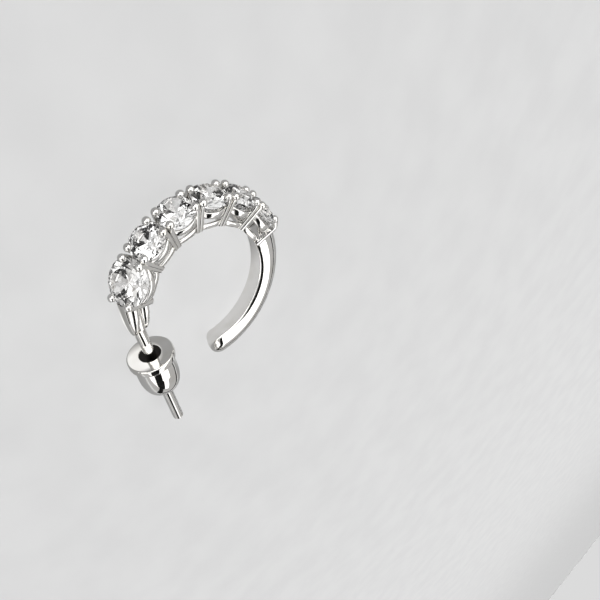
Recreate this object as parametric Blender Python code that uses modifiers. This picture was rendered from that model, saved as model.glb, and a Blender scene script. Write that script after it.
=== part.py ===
"""Hoop earring: six claw-set round stones on a canted arc, a plain shank, a post and a bullet ear back.

The hoop is drawn in its own frame, with the ring's axis along Y and the near side at -Y. The whole
earring then hangs on one empty, which lays it down on its far side as it comes to rest on a table.
"""
from math import asin, atan, cos, pi, radians, sin, sqrt, tan

import bmesh
import bpy
from mathutils import Matrix, Vector

MM = 0.001

# Ring
RING_R = 7.30 * MM  # ring axis to the middle of the claw tips
CANT = radians(18.0)  # the section leans, so the stones face outward and to the near side
FIRST_GROOVE = radians(151.4)  # where the first and second stones meet

# Stones
STONE_COUNT = 6
FIRST_STONE_D = 3.36 * MM
STONE_D = 2.70 * MM
STONE_SPACING = 0.06 * MM  # between two girdles
TABLE_SHARE = 0.57  # of the stone's diameter, as are the next three
CROWN_SHARE = 0.150
PAVILION_SHARE = 0.430
GIRDLE_SHARE = 0.030
LOWER_HALF_SHARE = 0.22  # of the girdle's radius, where the lower halves meet
GIRDLE_DEPTH = 0.25 * MM  # girdle below the middle of the claw tips
SEAT_GAP = 0.04 * MM

# Baskets
CLAW_TIP_R = 0.32 * MM
CLAW_WIRE_R = 0.235 * MM
CLAW_HALF_WIDTH = 0.77 * MM  # claw tips, across the row
CLAW_FOOT_HALF_WIDTH = 0.84 * MM
CLAW_BITE = 0.05 * MM  # how far a tip's middle stands inside the girdle
CLAW_SHOULDER = 0.07 * MM  # how far the wire passes outside the girdle
CLAW_FOOT_SHARE = 0.79  # foot to tip, along the row
LAST_CLAW_REACH = 1.37 * MM  # the last two claws stand upright beyond their stone
LAST_TIP_REACH = 0.87 * MM
LAST_CLAW_HALF_WIDTH = 0.93 * MM
BASKET_DEPTH = 2.22 * MM  # claws' feet below their tips
LOWER_RAIL_HALF_WIDTH = 0.88 * MM
LOWER_RAIL_THICK = 0.28 * MM
LOWER_RAIL_TALL = 0.46 * MM
LOWER_RAIL_RISE = 0.20 * MM  # its middle above the claws' feet
LOWER_RAIL_FULLNESS = 3.6  # in plan: 2 is an oval, more is squarer
UPPER_RAIL_DEPTH = 0.95 * MM
UPPER_RAIL_INSET = 0.17 * MM  # from the girdle's radius to the rail's
UPPER_RAIL_THICK = 0.24 * MM
UPPER_RAIL_TALL = 0.52 * MM
UPPER_RAIL_FULLNESS = 2.1
RAIL_JOINT = 0.03 * MM  # how far one stone's rail stops short of the plane to the next

# Shank
SHANK_HALF_WIDTH = 1.06 * MM
SHANK_INNER_DEPTH = 2.15 * MM
SHANK_SIDE_DEPTH = 1.40 * MM  # where the flat side ends
SHANK_CROWN_DEPTH = 0.33 * MM  # top of the domed outer face
SHANK_DOME_FULLNESS = 1.5  # 2 is an oval dome, less runs up to a soft ridge
SHANK_EDGE_RISE = 0.38 * MM  # the soft inner edges, up the sides
SHANK_EDGE_ACROSS = 0.12 * MM
SHANK_END = radians(-69.0)
SHANK_NOSE_LENGTH = 1.00 * MM
SHANK_NOSE_FULLNESS = 2.1  # 2 is an elliptical end, more is blunter

# Neck and post
POST_D = 0.90 * MM
POST_LENGTH = 10.45 * MM
POST_CHAMFER = 0.10 * MM
POST_INSET = 1.03 * MM  # its start, inside the circle of the claw tips
POST_START = radians(202.2)
POST_DIRECTION = radians(-67.6)
NECK_CORE_R = 0.44 * MM
NECK_GROOVE = 0.17 * MM  # half of the core's width that shows between the petals
OUTER_PETAL = (0.56 * MM, 0.80 * MM)  # half sizes: along the ring's radius, across the row
INNER_PETAL = (0.54 * MM, 0.80 * MM)
PETAL_OFFSET = 0.56 * MM  # petal's middle from the neck's
NECK_START_GAP = 0.16 * MM  # past the first stone's end claws
NECK_RISE = 0.40 * MM  # above the middle between the rails
PETAL_SHARE = 0.96  # of the neck's length

# Ear back
BACK_AT = 2.22 * MM  # its mouth, along the post from the neck
BACK_LENGTH = 3.72 * MM
BACK_MOUTH_R = 0.88 * MM
BACK_MOUTH_DEPTH = 2.60 * MM
BACK_THROAT = 0.35 * MM  # slope from the mouth bore down to the post bore
BACK_CLEARANCE = 0.05 * MM
BACK_RIM_R = 1.88 * MM
BACK_RIM_LENGTH = 0.62 * MM
BACK_RIM_EDGE_R = 0.14 * MM
BACK_WAIST_R = 1.50 * MM
BACK_BARREL_R = 1.64 * MM
BACK_BARREL_AT = 1.95 * MM
BACK_WAIST_DROP = 0.04 * MM  # the waist's top below the disc
BACK_TIP_R = 0.92 * MM
BACK_END_FULLNESS = 2.4  # 2 is an elliptical end, more is blunter

SILVER_DENSITY = 10360.0
STONE_DENSITY = 5800.0

# Mesh
ROUND_STEPS = 32
WIRE_SIDES = 8
RAIL_STEPS = 20
RAIL_SIDES = 6
TIP_ROUND_STEPS = 2
PETAL_STEPS = 16
PETAL_RINGS = 12
SHANK_STEPS = 24
NOSE_STEPS = 6
EDGE_STEPS = 3
DOME_STEPS = 5
CORNER_STEPS = 4
SWELL_STEPS = 4
BARREL_END_STEPS = 8
NOSE_CLOSES_AT = radians(86.0)
SQUARES_UP_WITHIN = radians(3.0)  # the shank's section, past the last claws
SHARP_FROM = radians(40.0)
FLAT_WITHIN = radians(0.5)
WELD = 0.0005 * MM
FACES_DOWN = 0.5  # least share of a resting face's normal that points to the far side


def clear_scene():
    """Start from nothing."""
    for old in list(bpy.data.objects):
        bpy.data.objects.remove(old)
    for old in list(bpy.data.collections):
        bpy.data.collections.remove(old)


def new_collection(name):
    collection = bpy.data.collections.new(name)
    bpy.context.scene.collection.children.link(collection)
    return collection


def principled(name, colour, metallic, roughness, transmission=0.0, ior=1.5):
    material = bpy.data.materials.new(name)
    material.use_nodes = True
    shader = material.node_tree.nodes["Principled BSDF"]
    shader.inputs["Base Color"].default_value = (*colour, 1.0)
    shader.inputs["Metallic"].default_value = metallic
    shader.inputs["Roughness"].default_value = roughness
    shader.inputs["Transmission Weight"].default_value = transmission
    if transmission:
        shader.inputs["IOR"].default_value = ior
    return material


def place(mesh_or_curve, name, collection, parent, matrix=None):
    """A new object under the earring's empty."""
    obj = bpy.data.objects.new(name, mesh_or_curve)
    collection.objects.link(obj)
    obj.parent = parent
    if matrix is not None:
        obj.matrix_local = matrix
    return obj


def as_guide(obj):
    obj.hide_render = True
    obj.display_type = "WIRE"
    return obj


def mesh_from(bm, name):
    mesh = bpy.data.meshes.new(name)
    bmesh.ops.recalc_face_normals(bm, faces=bm.faces)
    bm.to_mesh(mesh)
    bm.free()
    return mesh


def softened(mesh):
    """Shade a rounded piece smooth up to its real edges."""
    mesh.shade_smooth()
    mesh.set_sharp_from_angle(angle=SHARP_FROM)
    return mesh


def ring_point(angle, rise, across):
    """A point of the canted section: rise out from the claw tips' circle, across toward the far side."""
    radius = RING_R + rise * cos(CANT) + across * sin(CANT)
    return Vector((radius * cos(angle), across * cos(CANT) - rise * sin(CANT), radius * sin(angle)))


def ring_frame(angle):
    """Axes at a place on the ring: X along the row, Y across it, Z out through a stone's table."""
    along = Vector((sin(angle), 0.0, -cos(angle)))
    out = Vector((cos(angle) * cos(CANT), -sin(CANT), sin(angle) * cos(CANT)))
    across = out.cross(along)
    frame = Matrix((along, across, out)).transposed().to_4x4()
    frame.translation = Vector((cos(angle), 0.0, sin(angle))) * RING_R
    return frame


def axis_frame(origin, direction, side):
    """Axes with Z along a direction and X as near as can be to a side."""
    z = direction.normalized()
    y = z.cross(side).normalized()
    frame = Matrix((y.cross(z), y, z)).transposed().to_4x4()
    frame.translation = origin
    return frame


def wire(points, radius, name):
    """A round wire along a few points, as a closed mesh."""
    curve = bpy.data.curves.new(name, "CURVE")
    curve.dimensions = "3D"
    curve.bevel_depth = radius
    curve.bevel_resolution = WIRE_SIDES // 2 - 2
    curve.use_fill_caps = True
    spline = curve.splines.new("POLY")
    spline.points.add(len(points) - 1)
    for point, place_at in zip(spline.points, points):
        point.co = (*place_at, 1.0)
    drawn = bpy.data.objects.new(name, curve)
    bpy.context.scene.collection.objects.link(drawn)
    bpy.context.view_layer.update()
    mesh = bpy.data.meshes.new_from_object(drawn.evaluated_get(bpy.context.evaluated_depsgraph_get()))
    bpy.data.objects.remove(drawn)
    bm = bmesh.new()
    bm.from_mesh(mesh)
    bmesh.ops.remove_doubles(bm, verts=bm.verts, dist=WELD)
    return softened(mesh_from(bm, name))


def turned(profile, name, closed=False):
    """A turned piece: its profile at +X, from top to bottom, spun about Z."""
    mesh = bpy.data.meshes.new(name)
    count = len(profile)
    edges = [(i, (i + 1) % count) for i in range(count if closed else count - 1)]
    mesh.from_pydata([(x, 0.0, z) for x, z in profile], edges, [])
    return mesh


def spin(obj):
    screw = obj.modifiers.new("turned", "SCREW")
    screw.steps = screw.render_steps = ROUND_STEPS
    screw.use_merge_vertices = True
    screw.merge_threshold = WELD
    return obj


def arc(centre_x, centre_z, radius, start, end, steps):
    """Points on an arc of a turned profile, angles in degrees from +X toward +Z."""
    turns = [radians(start + (end - start) * i / steps) for i in range(steps + 1)]
    return [(centre_x + radius * cos(a), centre_z + radius * sin(a)) for a in turns]


def loft(sections, name):
    """A skin over closed sections with the same number of points, capped at both ends."""
    bm = bmesh.new()
    rings = [[bm.verts.new(p) for p in section] for section in sections]
    count = len(rings[0])
    for ring, after in zip(rings, rings[1:]):
        for i in range(count):
            j = (i + 1) % count
            bm.faces.new((ring[i], ring[j], after[j], after[i]))
    bm.faces.new(rings[0])
    bm.faces.new(rings[-1])
    return mesh_from(bm, name)


def brilliant(diameter, name):
    """A round brilliant with its girdle's middle at the origin and its table toward +Z."""
    girdle_r = diameter / 2
    half_girdle = GIRDLE_SHARE * diameter / 2
    crown_top = half_girdle + CROWN_SHARE * diameter
    culet = -half_girdle - PAVILION_SHARE * diameter
    table_r = TABLE_SHARE * diameter / 2
    star_r = (table_r + girdle_r) / 2
    lower_r = LOWER_HALF_SHARE * girdle_r
    fold = cos(pi / 8)
    crown_fall = (crown_top - half_girdle) / (girdle_r - table_r)
    star_z = half_girdle + crown_fall * (girdle_r - star_r * fold)
    lower_z = culet + (-half_girdle - culet) * lower_r * fold / girdle_r

    def ring(radius, z, count, turn):
        turns = [turn + 2 * pi * i / count for i in range(count)]
        return [(radius * cos(a), radius * sin(a), z) for a in turns]

    bm = bmesh.new()
    points = ring(table_r, crown_top, 8, 0.0) + ring(star_r, star_z, 8, pi / 8)
    points += ring(girdle_r, half_girdle, 16, 0.0) + ring(girdle_r, -half_girdle, 16, 0.0)
    points += ring(lower_r, lower_z, 8, pi / 8) + [(0.0, 0.0, culet)]
    for point in points:
        bm.verts.new(point)
    bmesh.ops.convex_hull(bm, input=bm.verts)
    bmesh.ops.dissolve_limit(bm, angle_limit=FLAT_WITHIN, verts=bm.verts, edges=bm.edges)
    return mesh_from(bm, name)


def stone_layout():
    """Each stone's diameter, place on the ring and half angle, girdle against girdle."""
    girdle_circle = RING_R - GIRDLE_DEPTH
    diameters = [FIRST_STONE_D] + [STONE_D] * (STONE_COUNT - 1)
    halves = [atan((d / 2 + STONE_SPACING / 2) / girdle_circle) for d in diameters]
    places = [FIRST_GROOVE + halves[0]]
    for before, after in zip(halves, halves[1:]):
        places.append(places[-1] - before - after)
    return list(zip(diameters, places, halves))


def claw_points(diameter, row_side, far_side, last):
    """The line of one claw wire, from its foot on the lower rail to its tip."""
    tip_ring = diameter / 2 - CLAW_BITE
    tip_along = sqrt(tip_ring**2 - CLAW_HALF_WIDTH**2)
    out = (diameter / 2 + CLAW_SHOULDER) / tip_ring
    tip = Vector((tip_along, CLAW_HALF_WIDTH, 0.0))
    shoulder = Vector((tip_along * out, CLAW_HALF_WIDTH * out, -GIRDLE_DEPTH))
    foot = Vector((tip_along * CLAW_FOOT_SHARE, CLAW_FOOT_HALF_WIDTH, -BASKET_DEPTH))
    if last:
        tip.x = LAST_TIP_REACH
        shoulder.x = foot.x = LAST_CLAW_REACH
        shoulder.y = foot.y = LAST_CLAW_HALF_WIDTH
    return [Vector((p.x * row_side, p.y * far_side, p.z)) for p in (foot, shoulder, tip)]


def rail_mesh(back, front, half_width, thick, tall, fullness, name):
    """A rounded ring about Z, from -back to front along the row, taller than it is thick."""
    bm = bmesh.new()
    centre, half_length = (front - back) / 2, (front + back) / 2
    rings = []
    for i in range(RAIL_STEPS):
        turn = 2 * pi * i / RAIL_STEPS
        scale = (abs(cos(turn)) ** fullness + abs(sin(turn)) ** fullness) ** (-1 / fullness)
        ring = []
        for j in range(RAIL_SIDES):
            roll = 2 * pi * (j + 0.5) / RAIL_SIDES
            out, up = thick / 2 * cos(roll), tall / 2 * sin(roll)
            along = centre + (half_length + out) * cos(turn) * scale
            ring.append(bm.verts.new((along, (half_width + out) * sin(turn) * scale, up)))
        rings.append(ring)
    for i, ring in enumerate(rings):
        after = rings[(i + 1) % RAIL_STEPS]
        for j in range(RAIL_SIDES):
            k = (j + 1) % RAIL_SIDES
            bm.faces.new((ring[j], after[j], after[k], ring[k]))
    return softened(mesh_from(bm, name))


def baskets(stones, guides, parent):
    """Claws, tips and rails of every stone."""
    for number, (diameter, angle, half_angle) in enumerate(stones, 1):
        frame = ring_frame(angle)
        for row_side in (-1, 1):
            for far_side in (-1, 1):
                last = number == len(stones) and row_side > 0
                points = claw_points(diameter, row_side, far_side, last)
                label = f"{number}_{row_side}_{far_side}"
                claw = wire(points, CLAW_WIRE_R, "claw_" + label)
                as_guide(place(claw, claw.name, guides, parent, frame))
                bm = bmesh.new()
                bmesh.ops.create_icosphere(bm, subdivisions=TIP_ROUND_STEPS, radius=CLAW_TIP_R)
                tip_at = frame @ Matrix.Translation(points[-1])
                tip = softened(mesh_from(bm, "tip_" + label))
                as_guide(place(tip, tip.name, guides, parent, tip_at))
        lower_reach = (RING_R - BASKET_DEPTH) * tan(half_angle) - RAIL_JOINT
        upper_reach = diameter / 2 - UPPER_RAIL_INSET
        upper_section = UPPER_RAIL_THICK, UPPER_RAIL_TALL, UPPER_RAIL_FULLNESS
        lower_section = LOWER_RAIL_THICK, LOWER_RAIL_TALL, LOWER_RAIL_FULLNESS
        rails = (
            ("upper", UPPER_RAIL_DEPTH, upper_reach, upper_reach, upper_section),
            ("lower", BASKET_DEPTH - LOWER_RAIL_RISE, lower_reach, LOWER_RAIL_HALF_WIDTH, lower_section),
        )
        for level, depth, reach, half_width, section in rails:
            front = LAST_CLAW_REACH if number == len(stones) else reach
            rail = rail_mesh(reach, front, half_width, *section, f"{level}_rail_{number}")
            lie = frame @ Matrix.Translation((0.0, 0.0, -depth))
            as_guide(place(rail, rail.name, guides, parent, lie))


def shank_section():
    """Half of the shank's outline mirrored: flat inside, flat sides, soft edges and a domed outer face."""
    half = SHANK_HALF_WIDTH
    right = [(-SHANK_INNER_DEPTH, 0.0)]
    for i in range(EDGE_STEPS + 1):
        a = pi / 2 * i / EDGE_STEPS
        rise = -SHANK_INNER_DEPTH + SHANK_EDGE_RISE * (1 - cos(a))
        right.append((rise, half - SHANK_EDGE_ACROSS * (1 - sin(a))))
    share = 2 / SHANK_DOME_FULLNESS
    for i in range(DOME_STEPS):
        a = pi / 2 * i / DOME_STEPS
        rise = -SHANK_SIDE_DEPTH + (SHANK_SIDE_DEPTH - SHANK_CROWN_DEPTH) * sin(a) ** share
        right.append((rise, half * cos(a) ** share))
    left = [(rise, -across) for rise, across in reversed(right[1:])]
    return right + [(-SHANK_CROWN_DEPTH, 0.0)] + left


def shank_mesh(last_stone_angle):
    """The shank from the last claws round to its rounded free end."""
    outline = shank_section()
    reach = LAST_CLAW_REACH - CLAW_WIRE_R / 2

    def start_angle(rise, across):
        return last_stone_angle - asin(reach / (RING_R + rise * cos(CANT) + across * sin(CANT)))

    sections = [[ring_point(start_angle(rise, across), rise, across) for rise, across in outline]]
    begin = min(start_angle(rise, across) for rise, across in outline) - SQUARES_UP_WITHIN
    for i in range(SHANK_STEPS + 1):
        angle = begin + (SHANK_END - begin) * i / SHANK_STEPS
        sections.append([ring_point(angle, rise, across) for rise, across in outline])
    middle = -(SHANK_INNER_DEPTH + SHANK_CROWN_DEPTH) / 2
    for i in range(1, NOSE_STEPS + 1):
        reach = sin(NOSE_CLOSES_AT * i / NOSE_STEPS)
        angle = SHANK_END - SHANK_NOSE_LENGTH * reach / (RING_R + middle)
        size = (1 - reach**SHANK_NOSE_FULLNESS) ** (1 / SHANK_NOSE_FULLNESS)
        nose = [(middle + (rise - middle) * size, across * size) for rise, across in outline]
        sections.append([ring_point(angle, rise, across) for rise, across in nose])
    return softened(loft(sections, "shank"))


def post_frame(along=0.0):
    """Axes on the post, Z back toward the neck and X across toward the hoop."""
    start = Vector((cos(POST_START), 0.0, sin(POST_START))) * (RING_R - POST_INSET)
    direction = Vector((cos(POST_DIRECTION), 0.0, sin(POST_DIRECTION)))
    return axis_frame(start + direction * along, -direction, Vector((-direction.z, 0.0, direction.x)))


def petal_mesh(half_sizes, side, name):
    """The lower half of an ellipsoid beside the neck's axis, cut flat on top and toward the axis."""
    bm = bmesh.new()
    swell = Matrix.Translation((side * PETAL_OFFSET, 0.0, 0.0)) @ Matrix.Diagonal((*half_sizes, 1.0))
    bmesh.ops.create_uvsphere(bm, u_segments=PETAL_STEPS, v_segments=PETAL_RINGS, radius=1.0, matrix=swell)
    top = (0.0, 0.0, 0.0), (0.0, 0.0, 1.0)
    inner_side = (side * NECK_GROOVE, 0.0, 0.0), (-side, 0.0, 0.0)
    for at, facing in (top, inner_side):
        geometry = bm.verts[:] + bm.edges[:] + bm.faces[:]
        cut = bmesh.ops.bisect_plane(bm, geom=geometry, plane_co=at, plane_no=facing, clear_outer=True)
        rim = [edge for edge in cut["geom_cut"] if isinstance(edge, bmesh.types.BMEdge)]
        bmesh.ops.holes_fill(bm, edges=rim, sides=0)
    return softened(mesh_from(bm, name))


def neck(first_stone, guides, parent):
    """Two petals and a core, from the first stone's end claws down to the post."""
    diameter, angle, _ = first_stone
    reach = sqrt((diameter / 2 - CLAW_BITE) ** 2 - CLAW_HALF_WIDTH**2) * CLAW_FOOT_SHARE + NECK_START_GAP
    frame = ring_frame(angle)
    top = frame @ Vector((-reach, 0.0, -(BASKET_DEPTH + UPPER_RAIL_DEPTH) / 2 + NECK_RISE))
    bottom = post_frame().translation
    out = frame.to_3x3() @ Vector((0.0, 0.0, 1.0))
    lie = axis_frame(top, top - bottom, out)
    length = (top - bottom).length
    for name, side, (thick, wide) in (("outer_petal", 1, OUTER_PETAL), ("inner_petal", -1, INNER_PETAL)):
        petal = petal_mesh((thick, wide, length * PETAL_SHARE), side, name)
        as_guide(place(petal, name, guides, parent, lie))
    profile = [(0.0, 0.0), (NECK_CORE_R, 0.0), (POST_D / 2, -length), (0.0, -length - POST_D / 4)]
    as_guide(spin(place(turned(profile, "neck_core"), "neck_core", guides, parent, lie)))


def post_mesh():
    radius, chamfer = POST_D / 2, POST_CHAMFER
    top = POST_D / 2
    profile = [(0.0, top), (radius, top), (radius, -POST_LENGTH + chamfer), (radius - chamfer, -POST_LENGTH)]
    return turned(profile + [(0.0, -POST_LENGTH)], "post")


def ear_back_mesh():
    """A rimmed disc, a bulging barrel, a wide mouth bore and a close bore for the post."""
    edge = BACK_RIM_EDGE_R
    bore = POST_D / 2 + BACK_CLEARANCE
    outer = [(BACK_MOUTH_R, 0.0)]
    outer += arc(BACK_RIM_R - edge, -edge, edge, 90, 0, CORNER_STEPS)
    outer += arc(BACK_RIM_R - edge, -BACK_RIM_LENGTH + edge, edge, 0, -90, CORNER_STEPS)
    outer += [(BACK_WAIST_R, -BACK_RIM_LENGTH - BACK_WAIST_DROP)]
    swell = BACK_BARREL_R - BACK_WAIST_R
    drop = BACK_BARREL_AT - BACK_RIM_LENGTH
    for i in range(1, SWELL_STEPS):
        a = pi / 2 * i / SWELL_STEPS
        outer.append((BACK_WAIST_R + swell * sin(a), -BACK_RIM_LENGTH - drop * i / SWELL_STEPS))
    for i in range(BARREL_END_STEPS + 1):
        a = pi / 2 * i / BARREL_END_STEPS
        out, down = cos(a) ** (2 / BACK_END_FULLNESS), sin(a) ** (2 / BACK_END_FULLNESS)
        narrow = BACK_TIP_R + (BACK_BARREL_R - BACK_TIP_R) * out
        outer.append((narrow, -BACK_BARREL_AT - (BACK_LENGTH - BACK_BARREL_AT) * down))
    inner = [(bore, -BACK_LENGTH), (bore, -BACK_MOUTH_DEPTH - BACK_THROAT), (BACK_MOUTH_R, -BACK_MOUTH_DEPTH)]
    return turned(outer + inner, "ear_back", closed=True)


def union_and_seat(obj, metal, seats):
    """Solder every metal piece to one body, then cut the stones' seats."""
    soldering = ("soldered", "UNION", metal, "EXACT")
    seating = ("seats", "DIFFERENCE", seats, "MANIFOLD")
    for name, operation, operands, solver in (soldering, seating):
        step = obj.modifiers.new(name, "BOOLEAN")
        step.operation = operation
        step.operand_type = "COLLECTION"
        step.collection = operands
        step.solver = solver


def evaluated(obj, depsgraph):
    """The finished mesh of an object, in the hoop's own frame."""
    bm = bmesh.new()
    bm.from_mesh(obj.evaluated_get(depsgraph).to_mesh())
    bm.transform(obj.matrix_local)
    bmesh.ops.triangulate(bm, faces=bm.faces)
    return bm


def centre_of_mass(weighed):
    total, moment = 0.0, Vector()
    for bm, density in weighed:
        for face in bm.faces:
            a, b, c = (v.co for v in face.verts)
            mass = a.dot(b.cross(c)) / 6 * density
            total += mass
            moment += (a + b + c) / 4 * mass
    return moment / total


def resting_side(points, balance):
    """The normal of the hull face under the centre of mass that looks most toward the far side."""
    bm = bmesh.new()
    for point in points:
        bm.verts.new(point)
    bmesh.ops.convex_hull(bm, input=bm.verts)
    bmesh.ops.recalc_face_normals(bm, faces=bm.faces)
    best = None
    for face in bm.faces:
        normal = face.normal.copy()
        if normal.y < FACES_DOWN:
            continue
        corners = [v.co for v in face.verts]
        inside = all(
            normal.dot((corners[(i + 1) % len(corners)] - corners[i]).cross(balance - corners[i])) > 0
            for i in range(len(corners))
        )
        if inside and (best is None or normal.y > best.y):
            best = normal
    bm.free()
    return best


def lay_down(earring, weighed):
    """Turn the empty so that the earring lies on its far side, centred over the origin."""
    balance = centre_of_mass(weighed)
    points = [v.co.copy() for bm, _ in weighed for v in bm.verts]
    up = -resting_side(points, balance)
    x = (Vector((1.0, 0.0, 0.0)) - up * up.x).normalized()
    turn = Matrix((x, up.cross(x), up)).to_4x4()
    turned_points = [turn @ p for p in points]
    low = [min(p[i] for p in turned_points) for i in range(3)]
    high = [max(p[i] for p in turned_points) for i in range(3)]
    shift = Matrix.Translation((-(low[0] + high[0]) / 2, -(low[1] + high[1]) / 2, -low[2]))
    earring.matrix_world = shift @ turn


def build():
    clear_scene()
    parts = new_collection("hoop_earring")
    metal = new_collection("soldered_pieces")
    seats = new_collection("stone_seats")
    earring = bpy.data.objects.new("earring", None)
    parts.objects.link(earring)

    white_metal = principled("bright plated silver", (0.86, 0.86, 0.85), 1.0, 0.06)
    clear_stone = principled("clear cut stone", (1.0, 1.0, 1.0), 0.0, 0.0, transmission=1.0, ior=2.15)

    stones = stone_layout()
    hoop = place(shank_mesh(stones[-1][1]), "hoop_mount", parts, earring)
    hoop.data.materials.append(white_metal)
    baskets(stones, metal, earring)
    neck(stones[0], metal, earring)
    as_guide(spin(place(post_mesh(), "post", metal, earring, post_frame())))

    solids = [(hoop, SILVER_DENSITY)]
    for number, (diameter, angle, _) in enumerate(stones, 1):
        at = ring_frame(angle) @ Matrix.Translation((0.0, 0.0, -GIRDLE_DEPTH))
        stone = place(brilliant(diameter, f"stone_{number}"), f"stone_{number}", parts, earring, at)
        stone.data.materials.append(clear_stone)
        solids.append((stone, STONE_DENSITY))
        seat = brilliant(diameter + 2 * SEAT_GAP, f"seat_{number}")
        as_guide(place(seat, f"seat_{number}", seats, earring, at))
    union_and_seat(hoop, metal, seats)

    back = spin(place(ear_back_mesh(), "ear_back", parts, earring, post_frame(BACK_AT)))
    back.data.materials.append(white_metal)
    solids.append((back, SILVER_DENSITY))

    bpy.context.view_layer.update()
    depsgraph = bpy.context.evaluated_depsgraph_get()
    weighed = [(evaluated(obj, depsgraph), density) for obj, density in solids]
    lay_down(earring, weighed)
    for bm, _ in weighed:
        bm.free()
    bpy.context.view_layer.update()


build()
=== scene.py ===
"""A hoop earring lying on a pale table: six claw-set brilliants, a domed shank, a post and an ear back.

Everything is in metres. Each piece is drawn in the hoop's own axes, with the ring's axis along Y and its
near side at -Y, and then laid on the table with the whole earring.
"""
from math import asin, atan, atan2, cos, pi, radians, sin, sqrt

import bmesh
import bpy
from mathutils import Matrix, Vector


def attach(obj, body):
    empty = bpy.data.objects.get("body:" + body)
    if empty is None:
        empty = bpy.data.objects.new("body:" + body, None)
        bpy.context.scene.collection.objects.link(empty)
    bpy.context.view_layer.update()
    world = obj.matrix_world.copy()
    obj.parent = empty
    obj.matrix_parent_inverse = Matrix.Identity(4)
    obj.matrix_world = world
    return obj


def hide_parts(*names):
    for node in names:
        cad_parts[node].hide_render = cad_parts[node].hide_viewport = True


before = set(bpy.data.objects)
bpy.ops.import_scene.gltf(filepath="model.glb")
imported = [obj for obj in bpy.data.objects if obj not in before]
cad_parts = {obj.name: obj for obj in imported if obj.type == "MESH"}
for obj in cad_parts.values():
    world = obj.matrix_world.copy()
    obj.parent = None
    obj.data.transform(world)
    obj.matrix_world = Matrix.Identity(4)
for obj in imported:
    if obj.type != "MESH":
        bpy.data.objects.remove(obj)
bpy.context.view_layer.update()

# How the earring lies.
# It rests on its far side, touching the table with the shank, a claw's foot and the ear back's rim, so the
# ring's axis stands almost upright.
MM = 0.001
SIDE_LEAN = radians(1.953985)
ROW_LEAN = radians(1.580619)
LIE_AT = Vector((0.50486, 2.11096, 1.84946)) * MM
LIE = (
    Matrix.Translation(LIE_AT)
    @ Matrix.Rotation(SIDE_LEAN, 4, "Y")
    @ Matrix.Rotation(ROW_LEAN - pi / 2, 4, "X")
)

# The bright metal.
# Sterling silver, cast, soldered, polished with rouge on a felt wheel and plated with rhodium. The eye sees
# a hard white mirror with the faintest waviness, and hairlines only where a reflection's edge crosses them.
POLISH_WAVE = 1.6 * MM
PLATE_TONES = ((0.30, "#E9E7E3"), (0.62, "#F4F3F1"))  # thin plate, full plate
HAIRLINE_PITCH = 0.04 * MM  # real hairlines are near 0.005 mm, drawn coarser so that they show at all
HAIRLINE_DEPTH = 0.00002 * MM
HAIRLINE_STRENGTH = 0.25
SILVER_ROUGHNESS = (0.015, 0.045)  # from the best polished spots to the worn ones
ROUGHNESS_SPREAD = (0.3, 0.7)  # the part of the noise that runs between them


def linear(colour):
    """An sRGB hex colour as linear RGBA."""
    parts = [int(colour[i : i + 2], 16) / 255 for i in (1, 3, 5)]
    return (*[p / 12.92 if p <= 0.04045 else ((p + 0.055) / 1.055) ** 2.4 for p in parts], 1.0)


def add_node(tree, kind, settings=None, inputs=None, links=None):
    """A new node with its properties, its own socket values, and links in from (node, output) pairs."""
    node = tree.nodes.new(kind)
    for name, value in (settings or {}).items():
        setattr(node, name, value)
    for name, value in (inputs or {}).items():
        node.inputs[name].default_value = value
    for name, (source, output) in (links or {}).items():
        tree.links.new(source.outputs[output], node.inputs[name])
    return node


def new_finish(name):
    """A material with its node tree emptied down to the output."""
    finish = bpy.data.materials.new(name)
    finish.use_nodes = True
    finish.node_tree.nodes.clear()
    return finish, finish.node_tree


def set_ramp(ramp, tones):
    """A colour ramp's stops, as (position, sRGB hex)."""
    elements = ramp.color_ramp.elements
    elements.remove(elements[1])
    elements[0].position, elements[0].color = tones[0][0], linear(tones[0][1])
    for position, tone in tones[1:]:
        elements.new(position).color = linear(tone)


def polished_rhodium_plated_silver():
    finish, tree = new_finish("polished_rhodium_plated_silver")
    place = add_node(tree, "ShaderNodeTexCoord")
    wave, hair = (
        add_node(
            tree,
            "ShaderNodeTexNoise",
            inputs={"Scale": 1 / pitch, "Detail": detail},
            links={"Vector": (place, "Object")},
        )
        for pitch, detail in ((POLISH_WAVE, 1.0), (HAIRLINE_PITCH, 2.0))
    )
    plate = add_node(tree, "ShaderNodeValToRGB", links={"Fac": (wave, "Fac")})
    set_ramp(plate, PLATE_TONES)
    low, high = ROUGHNESS_SPREAD
    least, most = SILVER_ROUGHNESS
    gloss = add_node(
        tree,
        "ShaderNodeMapRange",
        inputs={"From Min": low, "From Max": high, "To Min": least, "To Max": most},
        links={"Value": (hair, "Fac")},
    )
    hairlines = add_node(
        tree,
        "ShaderNodeBump",
        inputs={"Strength": HAIRLINE_STRENGTH, "Distance": HAIRLINE_DEPTH},
        links={"Height": (hair, "Fac")},
    )
    looks = {
        "Base Color": (plate, "Color"),
        "Roughness": (gloss, "Result"),
        "Normal": (hairlines, "Normal"),
    }
    shader = add_node(tree, "ShaderNodeBsdfPrincipled", inputs={"Metallic": 1.0}, links=looks)
    add_node(tree, "ShaderNodeOutputMaterial", links={"Surface": (shader, "BSDF")})
    return finish


silver = polished_rhodium_plated_silver()

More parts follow.
